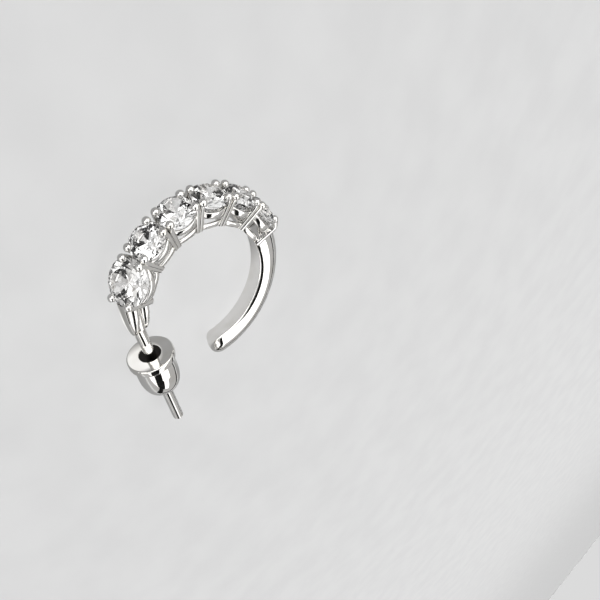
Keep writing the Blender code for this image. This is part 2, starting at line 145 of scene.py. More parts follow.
# The shank.
# One bar of silver bent round: flat inside and on its sides, domed outside, soft at its inner edges and
# rounded off at its free end. It is soldered to the last stone's claws and canted as the row of stones is.
RING_R = 7.30 * MM
CANT = radians(18.0)
STONE_COUNT = 6
FIRST_GROOVE = radians(151.4)
FIRST_STONE_D = 3.36 * MM
STONE_D = 2.70 * MM
STONE_SPACING = 0.06 * MM
GIRDLE_DEPTH = 0.25 * MM
SHANK_HALF_WIDTH = 1.06 * MM
SHANK_INNER_DEPTH = 2.15 * MM
SHANK_SIDE_DEPTH = 1.40 * MM
SHANK_CROWN_DEPTH = 0.33 * MM
SHANK_DOME_FULLNESS = 1.5  # 2 is an oval dome, less runs up to a soft ridge
SHANK_EDGE_RISE = 0.38 * MM
SHANK_EDGE_ACROSS = 0.12 * MM
SHANK_FLAT_SHARE = 0.45  # of its half width, where the flat inner face has one more edge
SHANK_START_INSIDE = radians(3.4)  # how far it reaches in between the last claws
SHANK_END = radians(-69.0)
SHANK_NOSE_LENGTH = 1.00 * MM
SHANK_NOSE_FULLNESS = 2.1
NOSE_CLOSES_AT = radians(89.0)
LAST_CLAW_REACH = 1.37 * MM
SHARP_FROM = radians(38.0)


def ring_point(angle, rise, across):
    """A point of the canted section: rise out from the claw tips' circle, across toward the far side."""
    radius = RING_R + rise * cos(CANT) + across * sin(CANT)
    return Vector((radius * cos(angle), across * cos(CANT) - rise * sin(CANT), radius * sin(angle)))


def ring_frame(angle):
    """Axes at a place on the ring: X along the row, Y across it, Z out through a stone's table."""
    along = Vector((sin(angle), 0.0, -cos(angle)))
    out = Vector((cos(angle) * cos(CANT), -sin(CANT), sin(angle) * cos(CANT)))
    axes = Matrix((along, out.cross(along), out)).transposed().to_4x4()
    axes.translation = Vector((cos(angle), 0.0, sin(angle))) * RING_R
    return axes


def stone_layout():
    """Each stone's diameter, place and half angle, girdle against girdle from the first groove on."""
    girdle_circle = RING_R - GIRDLE_DEPTH
    diameters = [FIRST_STONE_D] + [STONE_D] * (STONE_COUNT - 1)
    halves = [atan((d / 2 + STONE_SPACING / 2) / girdle_circle) for d in diameters]
    places = [FIRST_GROOVE + halves[0]]
    for before, after in zip(halves, halves[1:]):
        places.append(places[-1] - before - after)
    return list(zip(diameters, places, halves))


stones = stone_layout()


def loft(sections):
    """A skin over closed sections with the same number of points, capped at both ends."""
    skin = bmesh.new()
    rings = [[skin.verts.new(point) for point in section] for section in sections]
    for ring, after in zip(rings, rings[1:]):
        for i in range(len(ring)):
            j = (i + 1) % len(ring)
            skin.faces.new((ring[i], ring[j], after[j], after[i]))
    skin.faces.new(rings[0])
    skin.faces.new(rings[-1])
    bmesh.ops.recalc_face_normals(skin, faces=skin.faces)
    return skin


def finished_piece(name, shape, lie, finishes, body, node, sharp_from=SHARP_FROM):
    """A shape laid on the table as a piece of its own, shaded smooth up to its real edges."""
    mesh = bpy.data.meshes.new(name)
    shape.transform(LIE @ lie)
    shape.to_mesh(mesh)
    shape.free()
    for finish in finishes:
        mesh.materials.append(finish)
    mesh.shade_smooth()
    mesh.set_sharp_from_angle(angle=sharp_from)
    piece = bpy.data.objects.new(name, mesh)
    bpy.context.scene.collection.objects.link(piece)
    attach(piece, body)
    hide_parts(node)


def mount_piece(name, shape, lie):
    """A bright piece of the soldered mount."""
    finished_piece(name, shape, lie, [silver], "mount", "hoop_mount")


def shank_outline(edge_steps=14, dome_steps=24):
    """The section as (rise, across): flat inside, soft inner edges, flat sides and a domed outer face."""
    half = SHANK_HALF_WIDTH
    right = [(-SHANK_INNER_DEPTH, across) for across in (0.0, half * SHANK_FLAT_SHARE)]
    for i in range(edge_steps + 1):
        turn = pi / 2 * i / edge_steps
        rise, across = SHANK_EDGE_RISE * (1 - cos(turn)), SHANK_EDGE_ACROSS * (1 - sin(turn))
        right.append((rise - SHANK_INNER_DEPTH, half - across))
    dome, share = SHANK_SIDE_DEPTH - SHANK_CROWN_DEPTH, 2 / SHANK_DOME_FULLNESS
    for i in range(dome_steps):
        turn = pi / 2 * i / dome_steps
        right.append((-SHANK_SIDE_DEPTH + dome * sin(turn) ** share, half * cos(turn) ** share))
    left = [(rise, -across) for rise, across in reversed(right[1:])]
    return right + [(-SHANK_CROWN_DEPTH, 0.0)] + left


def shank_skin(steps=150, nose_steps=22):
    """The section swept round the ring and drawn in to the nose."""
    outline = shank_outline()
    start = stones[-1][1] - asin(LAST_CLAW_REACH / (RING_R - SHANK_INNER_DEPTH)) + SHANK_START_INSIDE
    turns = [start + (SHANK_END - start) * i / steps for i in range(steps + 1)]
    sections = [[ring_point(turn, rise, across) for rise, across in outline] for turn in turns]
    middle = -(SHANK_INNER_DEPTH + SHANK_CROWN_DEPTH) / 2
    for i in range(1, nose_steps + 1):
        reach = sin(NOSE_CLOSES_AT * i / nose_steps)
        size = (1 - reach**SHANK_NOSE_FULLNESS) ** (1 / SHANK_NOSE_FULLNESS)
        turn = SHANK_END - SHANK_NOSE_LENGTH * reach / (RING_R + middle)
        nose = [(middle + (rise - middle) * size, across * size) for rise, across in outline]
        sections.append([ring_point(turn, rise, across) for rise, across in nose])
    return loft(sections)


mount_piece("shank", shank_skin(), Matrix.Identity(4))

# The baskets' rails.
# Each stone sits in a basket of cast silver: a tall upper rail under its girdle and a lower rail at its
# foot. The last basket's rails run on to the upright claws where the shank begins.
UPPER_RAIL_DEPTH = 0.95 * MM
UPPER_RAIL_INSET = 0.17 * MM
UPPER_RAIL_THICK = 0.24 * MM
UPPER_RAIL_TALL = 0.52 * MM
UPPER_RAIL_FULLNESS = 2.1  # 2 is an oval, more is squarer
BASKET_DEPTH = 2.22 * MM
LOWER_RAIL_HALF_WIDTH = 0.88 * MM
LOWER_RAIL_THICK = 0.28 * MM
LOWER_RAIL_TALL = 0.46 * MM
LOWER_RAIL_RISE = 0.20 * MM  # its middle above the claws' feet
LOWER_RAIL_FULLNESS = 3.6
RAIL_JOINT = 0.03 * MM
RAIL_SECTION_FULLNESS = 2.8


def soft_square(turn, half_a, half_b, fullness):
    """A point on a rounded rectangle, a superellipse."""
    a, b = cos(turn), sin(turn)
    scale = (abs(a) ** fullness + abs(b) ** fullness) ** (-1 / fullness)
    return half_a * a * scale, half_b * b * scale


def rail_skin(back, front, half_width, thick, tall, depth, fullness, round_steps=96, profile_steps=20):
    """An oval ring about Z, from -back to front along the row, with a rounded square profile."""
    skin = bmesh.new()
    centre, half_length = (front - back) / 2, (front + back) / 2
    rings = []
    for i in range(round_steps):
        turn = 2 * pi * i / round_steps
        ring = []
        for j in range(profile_steps):
            roll = 2 * pi * j / profile_steps
            out, up = soft_square(roll, thick / 2, tall / 2, RAIL_SECTION_FULLNESS)
            along, across = soft_square(turn, half_length + out, half_width + out, fullness)
            ring.append(skin.verts.new((centre + along, across, up - depth)))
        rings.append(ring)
    for i, ring in enumerate(rings):
        after = rings[(i + 1) % round_steps]
        for j in range(profile_steps):
            k = (j + 1) % profile_steps
            skin.faces.new((ring[j], after[j], after[k], ring[k]))
    bmesh.ops.recalc_face_normals(skin, faces=skin.faces)
    return skin


upper_section = UPPER_RAIL_THICK, UPPER_RAIL_TALL, UPPER_RAIL_DEPTH, UPPER_RAIL_FULLNESS
lower_section = LOWER_RAIL_THICK, LOWER_RAIL_TALL, BASKET_DEPTH - LOWER_RAIL_RISE, LOWER_RAIL_FULLNESS
for number, (diameter, angle, half_angle) in enumerate(stones, 1):
    upper_reach = diameter / 2 - UPPER_RAIL_INSET
    lower_reach = (RING_R - BASKET_DEPTH) * sin(half_angle) / cos(half_angle) - RAIL_JOINT
    rails = (
        ("upper", upper_reach, upper_reach, upper_section),
        ("lower", lower_reach, LOWER_RAIL_HALF_WIDTH, lower_section),
    )
    for level, reach, half_width, section in rails:
        front = LAST_CLAW_REACH if number == STONE_COUNT else reach
        rail = rail_skin(reach, front, half_width, *section)
        mount_piece(f"{level}_rail_{number}", rail, ring_frame(angle))

# The claws.
# Four to a stone: a flattened wire up the basket's corner, out round the girdle and in over the crown, where
# its end is burnished to a round bead. The last two stand upright and close the row against the shank.
CLAW_TIP_R = 0.31 * MM
CLAW_TIP_FLAT = 0.92
CLAW_ALONG = 0.175 * MM  # half width along the row
CLAW_ACROSS = 0.21 * MM
CLAW_SECTION_FULLNESS = 4.0
CLAW_BEND = 0.35 * MM  # where it starts to bend, below the shoulder
END_CLAW_FLARE = 1.35  # of the row's first and last claws, at their feet
CLAW_HALF_WIDTH = 0.77 * MM
CLAW_FOOT_HALF_WIDTH = 0.84 * MM
CLAW_BITE = 0.05 * MM
CLAW_SHOULDER = 0.07 * MM
CLAW_FOOT_SHARE = 0.79
LAST_TIP_REACH = 0.87 * MM
LAST_CLAW_HALF_WIDTH = 0.93 * MM


def claw_line(diameter, row_side, far_side, upright):
    """The middle of one claw, from its foot on the lower rail to its bead."""
    tip_ring = diameter / 2 - CLAW_BITE
    tip_along = sqrt(tip_ring**2 - CLAW_HALF_WIDTH**2)
    out = (diameter / 2 + CLAW_SHOULDER) / tip_ring
    tip = Vector((tip_along, CLAW_HALF_WIDTH, 0.0))
    shoulder = Vector((tip_along * out, CLAW_HALF_WIDTH * out, -GIRDLE_DEPTH))
    foot = Vector((tip_along * CLAW_FOOT_SHARE, CLAW_FOOT_HALF_WIDTH, -BASKET_DEPTH))
    if upright:
        tip.x = LAST_TIP_REACH
        shoulder.x = foot.x = LAST_CLAW_REACH
        shoulder.y = foot.y = LAST_CLAW_HALF_WIDTH
    return [Vector((p.x * row_side, p.y * far_side, p.z)) for p in (foot, shoulder, tip)]


def claw_skin(line, flare, straight_steps=10, bend_steps=16, profile_steps=24):
    """A rounded flat bar that bends once at the shoulder and ends in a bead."""
    foot, shoulder, tip = line
    bend = shoulder + (foot - shoulder).normalized() * CLAW_BEND
    points = [foot.lerp(bend, i / straight_steps) for i in range(straight_steps)]
    for i in range(bend_steps + 1):
        t = i / bend_steps
        points.append(bend.lerp(shoulder, t).lerp(shoulder.lerp(tip, t), t))
    sections = []
    for i, point in enumerate(points):
        before, after = points[max(i - 1, 0)], points[min(i + 1, len(points) - 1)]
        up = (after - before).normalized()
        across = up.cross(Vector((1.0, 0.0, 0.0))).normalized()
        along = across.cross(up)
        wide = CLAW_ALONG * (flare + (1.0 - flare) * min(1.0, i / straight_steps))
        section = []
        for j in range(profile_steps):
            a, b = soft_square(2 * pi * j / profile_steps, wide, CLAW_ACROSS, CLAW_SECTION_FULLNESS)
            section.append(point + along * a + across * b)
        sections.append(section)
    skin = loft(sections)
    bead = Matrix.Translation(tip) @ Matrix.Diagonal((1.0, 1.0, CLAW_TIP_FLAT, 1.0))
    bmesh.ops.create_uvsphere(skin, u_segments=32, v_segments=20, radius=CLAW_TIP_R, matrix=bead)
    return skin


for number, (diameter, angle, _) in enumerate(stones, 1):
    for row_side, end in ((-1, "post_end"), (1, "shank_end")):
        for far_side, side in ((-1, "near"), (1, "far")):
            upright = number == STONE_COUNT and row_side > 0
            flare = END_CLAW_FLARE if upright or (number == 1 and row_side < 0) else 1.0
            claw = claw_skin(claw_line(diameter, row_side, far_side, upright), flare)
            mount_piece(f"claw_{number}_{side}_{end}", claw, ring_frame(angle))

# The neck and the post.
# Two cast petals and a core between them taper from the first basket to the post, a straight drawn wire
# that goes through the lobe. Its free end is chamfered.
POST_D = 0.90 * MM
POST_LENGTH = 10.45 * MM
POST_CHAMFER = 0.10 * MM
POST_INSET = 1.03 * MM
POST_START = radians(202.2)
POST_DIRECTION = radians(-67.6)
NECK_CORE_R = 0.44 * MM
NECK_GROOVE = 0.17 * MM  # half of the core's width that shows between the petals
OUTER_PETAL = (0.56 * MM, 0.80 * MM)
INNER_PETAL = (0.54 * MM, 0.80 * MM)
PETAL_OFFSET = 0.56 * MM
PETAL_SHARE = 0.96
NECK_START_GAP = 0.16 * MM
NECK_RISE = 0.40 * MM


def axis_frame(origin, direction, side):
    """Axes with Z along a direction and X as near as can be to a side."""
    z = direction.normalized()
    y = z.cross(side).normalized()
    axes = Matrix((y.cross(z), y, z)).transposed().to_4x4()
    axes.translation = origin
    return axes


def post_frame(along=0.0):
    """Axes on the post, Z back toward the neck and X across toward the hoop."""
    start = Vector((cos(POST_START), 0.0, sin(POST_START))) * (RING_R - POST_INSET)
    direction = Vector((cos(POST_DIRECTION), 0.0, sin(POST_DIRECTION)))
    return axis_frame(start + direction * along, -direction, Vector((-direction.z, 0.0, direction.x)))


def turned(profile, round_steps=96, closed=False):
    """A turned shape: a profile of (radius, height) spun about Z, pointed where the radius is nil."""
    skin = bmesh.new()
    rings = []
    for radius, height in profile:
        if radius == 0.0:
            rings.append([skin.verts.new((0.0, 0.0, height))])
            continue
        turns = [2 * pi * i / round_steps for i in range(round_steps)]
        rings.append([skin.verts.new((radius * cos(turn), radius * sin(turn), height)) for turn in turns])
    pairs = list(zip(rings, rings[1:]))
    if closed:
        pairs.append((rings[-1], rings[0]))
    for ring, after in pairs:
        for i in range(round_steps):
            j = (i + 1) % round_steps
            corners = [ring[i % len(ring)], ring[j % len(ring)], after[j % len(after)], after[i % len(after)]]
            skin.faces.new(list(dict.fromkeys(corners)))
    bmesh.ops.recalc_face_normals(skin, faces=skin.faces)
    return skin


def neck_frame():
    """Axes at the neck's top, Z up from the post, X out, with the neck's length."""
    diameter, angle, _ = stones[0]
    foot_along = sqrt((diameter / 2 - CLAW_BITE) ** 2 - CLAW_HALF_WIDTH**2) * CLAW_FOOT_SHARE
    basket = ring_frame(angle)
    height = -(BASKET_DEPTH + UPPER_RAIL_DEPTH) / 2 + NECK_RISE
    top = basket @ Vector((-foot_along - NECK_START_GAP, 0.0, height))
    bottom = post_frame().translation
    out = basket.to_3x3() @ Vector((0.0, 0.0, 1.0))
    return axis_frame(top, top - bottom, out), (top - bottom).length


def petal_skin(side, thick, wide, length):
    """Half of a long egg, cut flat where it faces the core, with its blunt top hidden in the basket."""
    skin = bmesh.new()
    swell = Matrix.Diagonal((thick, wide, length * PETAL_SHARE, 1.0))
    swell = Matrix.Translation((side * PETAL_OFFSET, 0.0, 0.0)) @ swell
    bmesh.ops.create_uvsphere(skin, u_segments=64, v_segments=48, radius=1.0, matrix=swell)
    top = (0.0, 0.0, 0.0), (0.0, 0.0, 1.0)
    inner_side = (side * NECK_GROOVE, 0.0, 0.0), (-side, 0.0, 0.0)
    for at, facing in (top, inner_side):
        geometry = skin.verts[:] + skin.edges[:] + skin.faces[:]
        cut = bmesh.ops.bisect_plane(skin, geom=geometry, plane_co=at, plane_no=facing, clear_outer=True)
        rim = [edge for edge in cut["geom_cut"] if isinstance(edge, bmesh.types.BMEdge)]
        bmesh.ops.holes_fill(skin, edges=rim, sides=0)
    return skin


neck_lie, neck_length = neck_frame()
for label, side, (thick, wide) in (("outer", 1, OUTER_PETAL), ("inner", -1, INNER_PETAL)):
    mount_piece(f"neck_{label}_petal", petal_skin(side, thick, wide, neck_length), neck_lie)
neck_core = [
    (0.0, 0.0),
    (NECK_CORE_R, 0.0),
    (POST_D / 2, -neck_length),
    (0.0, -neck_length - POST_D / 4),
]
mount_piece("neck_core", turned(neck_core), neck_lie)

post_profile = [
    (0.0, POST_D / 2),
    (POST_D / 2, POST_D / 2),
    (POST_D / 2, -POST_LENGTH + POST_CHAMFER),
    (POST_D / 2 - POST_CHAMFER, -POST_LENGTH),
    (0.0, -POST_LENGTH),
]
mount_piece("post", turned(post_profile), post_frame())

# The stones.
# Round brilliants of clear cubic zirconia, cut and polished flat facet by facet: a table, 8 stars, 8 kites
# and 16 upper halves above the girdle, 8 mains and 16 lower halves below it. Each is held by four claws.
CZ_IOR = 2.16  # high, which gives the stones their sparkle and dark flashes
CZ_CLOUD = 1.2 * MM
CZ_TONES = ((0.35, "#FCFAF8"), (0.65, "#FFFFFF"))
TABLE_SHARE = 0.57  # of the stone's diameter, as are the next three
CROWN_SHARE = 0.150
PAVILION_SHARE = 0.430
GIRDLE_SHARE = 0.030
MAIN_FACETS = 8
UPPER_HALVES_STEEPER = radians(6.5)  # than the kites
LOWER_HALVES_STEEPER = radians(1.6)  # than the mains
STARS_FLATTER = radians(11.0)  # than the kites
HALVES_AT = 0.9  # of the girdle's half height, where the halves meet it
FACET_EDGE = radians(0.5)
CUT_WITHIN = 1e-6 * MM


def mottled_finish(name, pitch, detail, tones, inputs):
    """A finish whose only pattern is tones that run into one another."""
    finish, tree = new_finish(name)
    place = add_node(tree, "ShaderNodeTexCoord")
    noise = add_node(
        tree,
        "ShaderNodeTexNoise",
        inputs={"Scale": 1 / pitch, "Detail": detail},
        links={"Vector": (place, "Object")},
    )
    colour = add_node(tree, "ShaderNodeValToRGB", links={"Fac": (noise, "Fac")})
    set_ramp(colour, tones)
    looks = {"Base Color": (colour, "Color")}
    shader = add_node(tree, "ShaderNodeBsdfPrincipled", inputs=inputs, links=looks)
    add_node(tree, "ShaderNodeOutputMaterial", links={"Surface": (shader, "BSDF")})
    return finish


def clear_cubic_zirconia():
    inputs = {"Roughness": 0.0, "IOR": CZ_IOR, "Transmission Weight": 1.0}
    return mottled_finish("clear_cut_cubic_zirconia", CZ_CLOUD, 1.0, CZ_TONES, inputs)


zirconia = clear_cubic_zirconia()


def brilliant_skin(diameter):
    """A round brilliant cut from a round blank, one plane a facet, its girdle's middle at the origin."""
    girdle_r = diameter / 2
    half_girdle = GIRDLE_SHARE * diameter / 2
    crown_top = half_girdle + CROWN_SHARE * diameter
    culet = -half_girdle - PAVILION_SHARE * diameter
    table_r = TABLE_SHARE * diameter / 2
    crown_slope = atan2(CROWN_SHARE * diameter, girdle_r - table_r)
    pavilion_slope = atan2(PAVILION_SHARE * diameter, girdle_r)
    skin = bmesh.new()
    bmesh.ops.create_cone(
        skin,
        cap_ends=True,
        segments=96,
        radius1=girdle_r,
        radius2=girdle_r,
        depth=crown_top - culet,
        matrix=Matrix.Translation((0.0, 0.0, (crown_top + culet) / 2)),
    )

    def cut(turn, slope, radius, height):
        """One facet: its slope from the girdle's plane, through a point at this radius and height."""
        side = 1.0 if slope > 0 else -1.0
        out, up = sin(abs(slope)), side * cos(slope)
        result = bmesh.ops.bisect_plane(
            skin,
            geom=skin.verts[:] + skin.edges[:] + skin.faces[:],
            dist=CUT_WITHIN,
            plane_co=(cos(turn) * radius, sin(turn) * radius, height),
            plane_no=(cos(turn) * out, sin(turn) * out, up),
            clear_outer=True,
        )
        rim = [edge for edge in result["geom_cut"] if isinstance(edge, bmesh.types.BMEdge)]
        bmesh.ops.holes_fill(skin, edges=rim, sides=0)

    for i in range(MAIN_FACETS):
        turn = 2 * pi * i / MAIN_FACETS
        cut(turn, crown_slope, girdle_r, half_girdle)
        cut(turn, -pavilion_slope, girdle_r, -half_girdle)
    for i in range(2 * MAIN_FACETS):
        turn = pi * (i + 0.5) / MAIN_FACETS
        cut(turn, crown_slope + UPPER_HALVES_STEEPER, girdle_r, half_girdle * HALVES_AT)
        cut(turn, -pavilion_slope - LOWER_HALVES_STEEPER, girdle_r, -half_girdle * HALVES_AT)
    for i in range(MAIN_FACETS):
        cut(2 * pi * (i + 0.5) / MAIN_FACETS, crown_slope - STARS_FLATTER, table_r, crown_top)
    return skin


for number, (diameter, angle, _) in enumerate(stones, 1):
    seat = ring_frame(angle) @ Matrix.Translation((0.0, 0.0, -GIRDLE_DEPTH))
    skin, node = brilliant_skin(diameter), f"stone_{number}"
    finished_piece(f"brilliant_{number}", skin, seat, [zirconia], "mount", node, FACET_EDGE)

# The ear back.
# A bullet of silver, turned and polished: a flat disc that meets the lobe, a step, and a bulging barrel
# whose bore grips the post. The bore is left as drilled; its near black is painted shade, the dark in the
# hole.
BACK_AT = 2.22 * MM
BACK_LENGTH = 3.72 * MM
BACK_MOUTH_R = 0.88 * MM
BACK_MOUTH_DEPTH = 2.60 * MM
BACK_MOUTH_EDGE_R = 0.05 * MM
BACK_THROAT = 0.35 * MM
BACK_CLEARANCE = 0.05 * MM
BACK_RIM_R = 1.88 * MM
BACK_RIM_LENGTH = 0.62 * MM
BACK_RIM_EDGE_R = 0.14 * MM
BACK_WAIST_R = 1.50 * MM
BACK_BARREL_R = 1.64 * MM
BACK_BARREL_AT = 1.95 * MM
BACK_TIP_R = 0.92 * MM
BACK_END_FULLNESS = 2.4
BORE_PAINTED_SHADE_TONES = ((0.40, "#121110"), (0.70, "#1F1D1C"))  # painted shade in the bore, darker and less dark at random
DRILL_PITCH = 0.06 * MM
AT_BORE_WITHIN = 1e-4 * MM


# The bore's near black colour is painted shade, standing in for the dark inside the hole.
def painted_shade_bore():
    inputs = {"Roughness": 0.75}
    return mottled_finish("bore_with_painted_shade", DRILL_PITCH, 3.0, BORE_PAINTED_SHADE_TONES, inputs)


bore_shade_finish = painted_shade_bore()


def arc(centre_r, centre_z, radius, start, end, steps=10):
    """Points on an arc of a turned profile, angles in degrees from outward toward up."""
    turns = [radians(start + (end - start) * i / steps) for i in range(steps + 1)]
    return [(centre_r + radius * cos(turn), centre_z + radius * sin(turn)) for turn in turns]


def ear_back_profile(swell_steps=16, end_steps=24):
    """From the mouth's lip round the disc and down the barrel to its end, and then up the bore."""
    edge, lip = BACK_RIM_EDGE_R, BACK_MOUTH_EDGE_R
    profile = arc(BACK_MOUTH_R + lip, -lip, lip, 180, 90, steps=5)
    profile += arc(BACK_RIM_R - edge, -edge, edge, 90, 0)
    profile += arc(BACK_RIM_R - edge, -BACK_RIM_LENGTH + edge, edge, 0, -90)
    profile += [(BACK_WAIST_R, -BACK_RIM_LENGTH)]
    swell, drop = BACK_BARREL_R - BACK_WAIST_R, BACK_BARREL_AT - BACK_RIM_LENGTH
    for i in range(1, swell_steps):
        rise = sin(pi / 2 * i / swell_steps)
        profile.append((BACK_WAIST_R + swell * rise, -BACK_RIM_LENGTH - drop * i / swell_steps))
    taper, run, share = BACK_BARREL_R - BACK_TIP_R, BACK_LENGTH - BACK_BARREL_AT, 2 / BACK_END_FULLNESS
    for i in range(end_steps + 1):
        turn = pi / 2 * i / end_steps
        profile.append((BACK_TIP_R + taper * cos(turn) ** share, -BACK_BARREL_AT - run * sin(turn) ** share))
    bore = POST_D / 2 + BACK_CLEARANCE
    profile += [(bore, -BACK_LENGTH), (bore, -BACK_MOUTH_DEPTH - BACK_THROAT)]
    return profile + [(BACK_MOUTH_R, -BACK_MOUTH_DEPTH)]


def in_bore(face):
    """Whether a face of the ear back lines its bore, rather than closes its end."""
    inside = all(sqrt(v.co.x**2 + v.co.y**2) < BACK_MOUTH_R + AT_BORE_WITHIN for v in face.verts)
    return inside and face.calc_center_median().z > -BACK_LENGTH + AT_BORE_WITHIN


ear_back_skin = turned(ear_back_profile(), round_steps=128, closed=True)
for face in ear_back_skin.faces:
    face.material_index = int(in_bore(face))
back_finishes = [silver, bore_shade_finish]
finished_piece(
    "ear_back_bullet", ear_back_skin, post_frame(BACK_AT), back_finishes, "back", "ear_back"
)

# The photographer's table.
# A seamless sheet of fully matt, pale grey laminate on which the earring just lies. It is big enough to
# fill the view from anywhere.
TABLE_GREY = "#9B9B9B"
TABLE_TONES = ((0.35, "#989898"), (0.65, TABLE_GREY))
TABLE_FLECK = 6 * MM
TABLE_SIZE = 3000 * MM


def matt_laminate_table():
    inputs = {"Roughness": 0.8, "Specular IOR Level": 0.0}
    return mottled_finish("matt_grey_laminate_table", TABLE_FLECK, 2.0, TABLE_TONES, inputs)


def stage_piece(name, shape, finish, lie=Matrix.Identity(4)):
    """A thing of the studio, which is no part of the earring."""
    mesh = bpy.data.meshes.new(name)
    shape.to_mesh(mesh)
    shape.free()
    mesh.materials.append(finish)
    thing = bpy.data.objects.new(name, mesh)
    bpy.context.scene.collection.objects.link(thing)
    thing.matrix_world = lie
    return thing


def flat(wide, tall):
    """A rectangle about the origin, facing up."""
    shape = bmesh.new()
    bmesh.ops.create_grid(shape, x_segments=1, y_segments=1, size=0.5)
    shape.transform(Matrix.Diagonal((wide, tall, 1.0, 1.0)))
    return shape


stage_piece("table", flat(TABLE_SIZE, TABLE_SIZE), matt_laminate_table())

# The camera.
# It looks over the near side of the hoop from beyond the stones, and its frame is shifted so that the
# earring lies in the left half of the picture.
CAMERA_AT = Vector((-2.743, -3.394, 2.152)) * RING_R
CAMERA_RIGHT = Vector((0.8075, -0.5828, 0.0909))
CAMERA_DOWN = Vector((-0.2438, -0.4701, -0.8483))
PICTURE_SIDE = 600.0
FOCAL_PIXELS = 465.2
CENTRE_PIXEL = (204.23, 330.0)
SENSOR_MM = 36.0
SEES_FROM = 1 * MM
SEES_TO = 2000 * MM

camera_data = bpy.data.cameras.new("camera")
camera_data.sensor_width = SENSOR_MM
camera_data.lens = SENSOR_MM * FOCAL_PIXELS / PICTURE_SIDE
camera_data.shift_x = (PICTURE_SIDE / 2 - CENTRE_PIXEL[0]) / PICTURE_SIDE
camera_data.shift_y = (CENTRE_PIXEL[1] - PICTURE_SIDE / 2) / PICTURE_SIDE
camera_data.clip_start = SEES_FROM
camera_data.clip_end = SEES_TO
camera = bpy.data.objects.new("camera", camera_data)
bpy.context.scene.collection.objects.link(camera)
right = CAMERA_RIGHT.normalized()
up = -CAMERA_DOWN.normalized()
camera_axes = Matrix((right, up, right.cross(up))).transposed().to_4x4()
camera_axes.translation = CAMERA_AT
camera.matrix_world = LIE @ camera_axes
bpy.context.scene.camera = camera

# The lights.
# White softboxes hang flat overhead and one stands low. A wide fill with no shadow evens out the table, as
# a light tent does, and only the key and the low one light the table besides.
RIG_HEIGHT = 300 * MM
RIG_TURN = radians(6.3)
# name, whether it lights the table, radiance, then from and to across the rig and along it, as shares of
# the rig's height
SOFTBOXES = (
    ("key_softbox", True, 1.45, 0.07, 0.95, -0.95, 0.22),
    ("strip_softbox", False, 0.95, 0.16, 0.66, -2.00, -0.95),
    ("side_softbox", False, 1.05, -2.20, -0.66, -2.30, -0.45),
    ("front_softbox", False, 1.25, -1.70, 1.20, 0.55, 2.20),
)
FLOOR_FILL = 1.98
FLOOR_FILL_REACH = (-8.0, 8.0, -8.0, 8.0)
STANDS_AT = 420 * MM
LOW_RADIANCE = 1.0
LOW_AZIMUTH = radians(188.0)
LOW_SIZE = (420 * MM, 240 * MM)


def over_rig(from_across, to_across, from_along, to_along):
    """A place under the rig's ceiling, facing down, and its two sizes."""
    middle = Vector(((from_across + to_across) / 2, (from_along + to_along) / 2, 1.0)) * RIG_HEIGHT
    size = (to_across - from_across) * RIG_HEIGHT, (to_along - from_along) * RIG_HEIGHT
    return Matrix.Rotation(RIG_TURN, 4, "Z") @ Matrix.Translation(middle), size


def standing(azimuth, height):
    """A place for what stands round the table and faces its middle."""
    turn = Matrix.Rotation(azimuth + pi / 2, 4, "Z")
    return turn @ Matrix.Translation((0.0, -STANDS_AT, height / 2)) @ Matrix.Rotation(pi / 2, 4, "X")


def softbox(name, radiance, lie, size):
    data = bpy.data.lights.new(name, "AREA")
    data.shape = "RECTANGLE"
    data.size, data.size_y = size
    data.energy = radiance * pi * size[0] * size[1]
    light = bpy.data.objects.new(name, data)
    bpy.context.scene.collection.objects.link(light)
    light.matrix_world = lie
    light.visible_camera = False
    return light


for name, lights_table, radiance, *reach in SOFTBOXES:
    box = softbox(name, radiance, *over_rig(*reach))
    box.visible_diffuse = lights_table

fill = softbox("floor_fill", FLOOR_FILL, *over_rig(*FLOOR_FILL_REACH))
fill.data.use_shadow = False
fill.data.cycles.use_multiple_importance_sampling = False  # else the softboxes before it take some of it
fill.visible_glossy = False
fill.visible_transmission = False
softbox("low_softbox", LOW_RADIANCE, standing(LOW_AZIMUTH, LOW_SIZE[1]), LOW_SIZE)

# The black cards.
# Card faced with black velvet, hung between the softboxes and stood round the table. They only show in the
# metal, where they draw the crisp black line along every polished edge.
VELVET_PILE = 2 * MM
VELVET_TONES = ((0.3, "#000000"), (0.7, "#050505"))
# name, then from and to across the rig and along it
OVERHEAD_CARDS = (
    ("overhead_black_card", -0.50, 0.07, -0.95, 0.15),
    ("far_black_card", -0.66, 0.16, -2.10, -0.95),
)
# name, azimuth, width and height
STANDING_CARDS = (
    ("side_black_card", radians(-91.0), 90 * MM, 200 * MM),
    ("camera_black_card", radians(137.0), 150 * MM, 215 * MM),
)
LOW_CARD_RADIUS = 300 * MM
LOW_CARD_FROM = 10 * MM
LOW_CARD_TO = 46 * MM
LOW_CARD_GAP = (radians(-130.0), radians(-98.0))


def black_velvet_card():
    return mottled_finish("black_velvet_card", VELVET_PILE, 2.0, VELVET_TONES, {"Roughness": 1.0})


def card(name, shape, lie, finish):
    """A card that only shows in polished metal."""
    thing = stage_piece(name, shape, finish, lie)
    thing.visible_camera = False
    thing.visible_diffuse = False
    thing.visible_shadow = False
    thing.visible_transmission = False


def low_ring():
    """A band of card right round the table, open at one gap."""
    shape = bmesh.new()
    bmesh.ops.create_cone(
        shape,
        segments=64,
        radius1=LOW_CARD_RADIUS,
        radius2=LOW_CARD_RADIUS,
        depth=LOW_CARD_TO - LOW_CARD_FROM,
    )
    in_gap = []
    for face in shape.faces:
        middle = face.calc_center_median()
        if LOW_CARD_GAP[0] < atan2(middle.y, middle.x) < LOW_CARD_GAP[1]:
            in_gap.append(face)
    bmesh.ops.delete(shape, geom=in_gap, context="FACES")
    return shape


